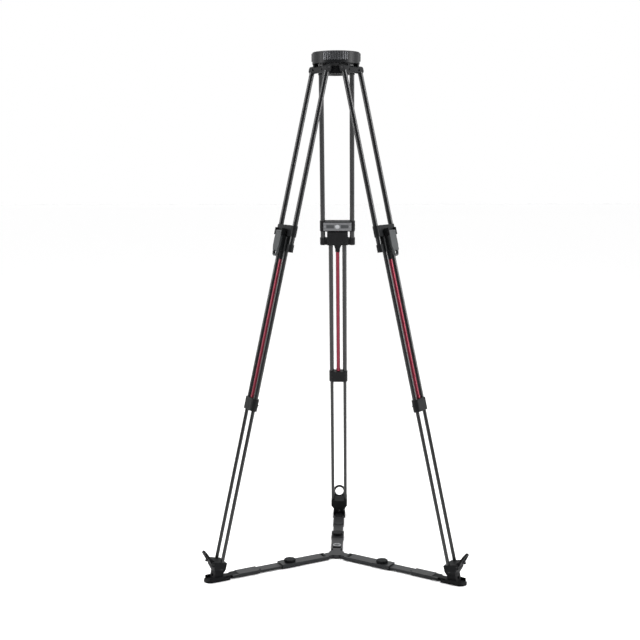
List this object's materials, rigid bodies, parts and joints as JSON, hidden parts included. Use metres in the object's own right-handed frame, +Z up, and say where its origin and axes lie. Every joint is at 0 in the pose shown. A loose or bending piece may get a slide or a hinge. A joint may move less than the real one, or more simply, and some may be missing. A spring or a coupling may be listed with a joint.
{
  "type": "two-stage camera tripod with ground spreader",
  "caption": "Two-stage twin-tube camera tripod with a half-ball bowl, a red lock rod down each leg, latched feet and a telescopic ground spreader.",
  "frame": {"origin": "on the floor, under the centre of the bowl", "axes": "+Z up; +Y towards the back leg; +X to the right of the two front legs"},
  "size_m": [0.799, 0.6989, 1.57],
  "materials": {
    "black_casting": "satin black powder coat on cast alloy",
    "carbon_tube": "lacquered carbon fibre",
    "grey_casting": "satin dark grey cast alloy",
    "red_anodised": "red anodised",
    "lock_plastic": "textured glass-filled nylon",
    "steel_pin": "ground steel",
    "spreader_alloy": "dark grey anodised",
    "cup_plastic": "moulded nylon",
    "rim_plate": "machined and anodised grey"
  },
  "bodies": {
    "spreader": {"spreader_hub": "spreader_alloy", "hub_pins": "steel_pin", "arm_root_back": "spreader_alloy", "arm_root_left": "spreader_alloy", "arm_root_right": "spreader_alloy"},
    "crown": {"bowl": "black_casting", "bowl_rim_pads": "rim_plate", "shoulder_pins": "steel_pin"},
    "leg_back": {"shoulder_yoke_back": "black_casting", "upper_tubes_back": "carbon_tube", "upper_lock_back": "black_casting", "lever_pin_back": "steel_pin"},
    "lever_back": {"lock_lever_back": "lock_plastic"},
    "collar_back": {"drive_collar_back": "lock_plastic"},
    "mid_stage_back": {"slider_back": "grey_casting", "mid_tubes_back": "carbon_tube", "lower_lock_back": "black_casting"},
    "rod_back": {"lock_rod_back": "red_anodised"},
    "lower_stage_back": {"lower_tubes_back": "carbon_tube", "foot_back": "cup_plastic", "latch_pin_back": "steel_pin"},
    "latch_back": {"foot_latch_back": "lock_plastic"},
    "arm_back": {"arm_slide_back": "spreader_alloy", "foot_cup_back": "cup_plastic"},
    "knob_back": {"arm_knob_back": "lock_plastic"},
    "leg_left": {"shoulder_yoke_left": "black_casting", "upper_tubes_left": "carbon_tube", "upper_lock_left": "black_casting", "lever_pin_left": "steel_pin"},
    "lever_left": {"lock_lever_left": "lock_plastic"},
    "collar_left": {"drive_collar_left": "lock_plastic"},
    "mid_stage_left": {"slider_left": "grey_casting", "mid_tubes_left": "carbon_tube", "lower_lock_left": "black_casting"},
    "rod_left": {"lock_rod_left": "red_anodised"},
    "lower_stage_left": {"lower_tubes_left": "carbon_tube", "foot_left": "cup_plastic", "latch_pin_left": "steel_pin"},
    "latch_left": {"foot_latch_left": "lock_plastic"},
    "arm_left": {"arm_slide_left": "spreader_alloy", "foot_cup_left": "cup_plastic"},
    "knob_left": {"arm_knob_left": "lock_plastic"},
    "leg_right": {"shoulder_yoke_right": "black_casting", "upper_tubes_right": "carbon_tube", "upper_lock_right": "black_casting", "lever_pin_right": "steel_pin"},
    "lever_right": {"lock_lever_right": "lock_plastic"},
    "collar_right": {"drive_collar_right": "lock_plastic"},
    "mid_stage_right": {"slider_right": "grey_casting", "mid_tubes_right": "carbon_tube", "lower_lock_right": "black_casting"},
    "rod_right": {"lock_rod_right": "red_anodised"},
    "lower_stage_right": {"lower_tubes_right": "carbon_tube", "foot_right": "cup_plastic", "latch_pin_right": "steel_pin"},
    "latch_right": {"foot_latch_right": "lock_plastic"},
    "arm_right": {"arm_slide_right": "spreader_alloy", "foot_cup_right": "cup_plastic"},
    "knob_right": {"arm_knob_right": "lock_plastic"}
  },
  "joints": [
    {"name": "crown_height", "type": "slide", "parent": "spreader", "child": "crown", "axis": [0, 0, 1], "range_m": [-0.007, 0.0165]},
    {"name": "leg_swing_back", "type": "hinge", "parent": "crown", "child": "leg_back", "pos_m": [0, 0.054, 1.522], "axis": [1, 0, 0], "range_deg": [-2.7, 1.2]},
    {"name": "mid_slide_back", "type": "slide", "parent": "leg_back", "child": "mid_stage_back", "axis": [0, -0.2317, 0.9728], "range_m": [0, 0.39]},
    {"name": "lower_slide_back", "type": "slide", "parent": "mid_stage_back", "child": "lower_stage_back", "axis": [0, -0.2317, 0.9728], "range_m": [0, 0.43]},
    {"name": "lock_lever_back", "type": "hinge", "parent": "leg_back", "child": "lever_back", "pos_m": [0, 0.19204, 1.04398], "axis": [1, 0, 0], "range_deg": [0, 80]},
    {"name": "rod_turn_back", "type": "hinge", "parent": "mid_stage_back", "child": "rod_back", "pos_m": [0, 0.22781, 0.79242], "axis": [0, -0.2317, 0.9728], "range_deg": [0, 90]},
    {"name": "collar_turn_back", "type": "hinge", "parent": "leg_back", "child": "collar_back", "pos_m": [0, 0.1861, 0.96752], "axis": [0, -0.2317, 0.9728], "range_deg": [0, 90]},
    {"name": "foot_latch_back", "type": "hinge", "parent": "lower_stage_back", "child": "latch_back", "pos_m": [0, 0.43215, 0.05983], "axis": [-1, 0, 0], "range_deg": [0, 50]},
    {"name": "arm_slide_back", "type": "slide", "parent": "spreader", "child": "arm_back", "axis": [0, 1, 0], "range_m": [-0.0695, 0.0295]},
    {"name": "arm_knob_back", "type": "hinge", "parent": "spreader", "child": "knob_back", "pos_m": [0, 0.166, 0.018], "axis": [0, 0, 1], "range_deg": [0, 180]},
    {"name": "leg_swing_left", "type": "hinge", "parent": "crown", "child": "leg_left", "pos_m": [-0.04677, -0.027, 1.522], "axis": [-0.5, 0.866, 0], "range_deg": [-2.7, 1.2]},
    {"name": "mid_slide_left", "type": "slide", "parent": "leg_left", "child": "mid_stage_left", "axis": [0.2007, 0.1159, 0.9728], "range_m": [0, 0.39]},
    {"name": "lower_slide_left", "type": "slide", "parent": "mid_stage_left", "child": "lower_stage_left", "axis": [0.2007, 0.1159, 0.9728], "range_m": [0, 0.43]},
    {"name": "lock_lever_left", "type": "hinge", "parent": "leg_left", "child": "lever_left", "pos_m": [-0.16631, -0.09602, 1.04398], "axis": [-0.5, 0.866, 0], "range_deg": [0, 80]},
    {"name": "rod_turn_left", "type": "hinge", "parent": "mid_stage_left", "child": "rod_left", "pos_m": [-0.19729, -0.11391, 0.79242], "axis": [0.2007, 0.1159, 0.9728], "range_deg": [0, 90]},
    {"name": "collar_turn_left", "type": "hinge", "parent": "leg_left", "child": "collar_left", "pos_m": [-0.16116, -0.09305, 0.96752], "axis": [0.2007, 0.1159, 0.9728], "range_deg": [0, 90]},
    {"name": "foot_latch_left", "type": "hinge", "parent": "lower_stage_left", "child": "latch_left", "pos_m": [-0.37425, -0.21607, 0.05983], "axis": [0.5, -0.866, 0], "range_deg": [0, 50]},
    {"name": "arm_slide_left", "type": "slide", "parent": "spreader", "child": "arm_left", "axis": [-0.866, -0.5, 0], "range_m": [-0.0695, 0.0295]},
    {"name": "arm_knob_left", "type": "hinge", "parent": "spreader", "child": "knob_left", "pos_m": [-0.14376, -0.083, 0.018], "axis": [0, 0, 1], "range_deg": [0, 180]},
    {"name": "leg_swing_right", "type": "hinge", "parent": "crown", "child": "leg_right", "pos_m": [0.04677, -0.027, 1.522], "axis": [-0.5, -0.866, 0], "range_deg": [-2.7, 1.2]},
    {"name": "mid_slide_right", "type": "slide", "parent": "leg_right", "child": "mid_stage_right", "axis": [-0.2007, 0.1159, 0.9728], "range_m": [0, 0.39]},
    {"name": "lower_slide_right", "type": "slide", "parent": "mid_stage_right", "child": "lower_stage_right", "axis": [-0.2007, 0.1159, 0.9728], "range_m": [0, 0.43]},
    {"name": "lock_lever_right", "type": "hinge", "parent": "leg_right", "child": "lever_right", "pos_m": [0.16631, -0.09602, 1.04398], "axis": [-0.5, -0.866, 0], "range_deg": [0, 80]},
    {"name": "rod_turn_right", "type": "hinge", "parent": "mid_stage_right", "child": "rod_right", "pos_m": [0.19729, -0.11391, 0.79242], "axis": [-0.2007, 0.1159, 0.9728], "range_deg": [0, 90]},
    {"name": "collar_turn_right", "type": "hinge", "parent": "leg_right", "child": "collar_right", "pos_m": [0.16116, -0.09305, 0.96752], "axis": [-0.2007, 0.1159, 0.9728], "range_deg": [0, 90]},
    {"name": "foot_latch_right", "type": "hinge", "parent": "lower_stage_right", "child": "latch_right", "pos_m": [0.37425, -0.21607, 0.05983], "axis": [0.5, 0.866, 0], "range_deg": [0, 50]},
    {"name": "arm_slide_right", "type": "slide", "parent": "spreader", "child": "arm_right", "axis": [0.866, -0.5, 0], "range_m": [-0.0695, 0.0295]},
    {"name": "arm_knob_right", "type": "hinge", "parent": "spreader", "child": "knob_right", "pos_m": [0.14376, -0.083, 0.018], "axis": [0, 0, 1], "range_deg": [0, 180]}
  ],
  "couplings": [
    {"joint": "leg_swing_back", "follows": "crown_height", "rad_per_m": -2.7744},
    {"joint": "arm_slide_back", "follows": "crown_height", "ratio": -4.1977},
    {"joint": "rod_turn_back", "follows": "lock_lever_back", "ratio": 1},
    {"joint": "collar_turn_back", "follows": "lock_lever_back", "ratio": 1},
    {"joint": "leg_swing_left", "follows": "crown_height", "rad_per_m": -2.7744},
    {"joint": "arm_slide_left", "follows": "crown_height", "ratio": -4.1977},
    {"joint": "rod_turn_left", "follows": "lock_lever_left", "ratio": 1},
    {"joint": "collar_turn_left", "follows": "lock_lever_left", "ratio": 1},
    {"joint": "leg_swing_right", "follows": "crown_height", "rad_per_m": -2.7744},
    {"joint": "arm_slide_right", "follows": "crown_height", "ratio": -4.1977},
    {"joint": "rod_turn_right", "follows": "lock_lever_right", "ratio": 1},
    {"joint": "collar_turn_right", "follows": "lock_lever_right", "ratio": 1}
  ]
}
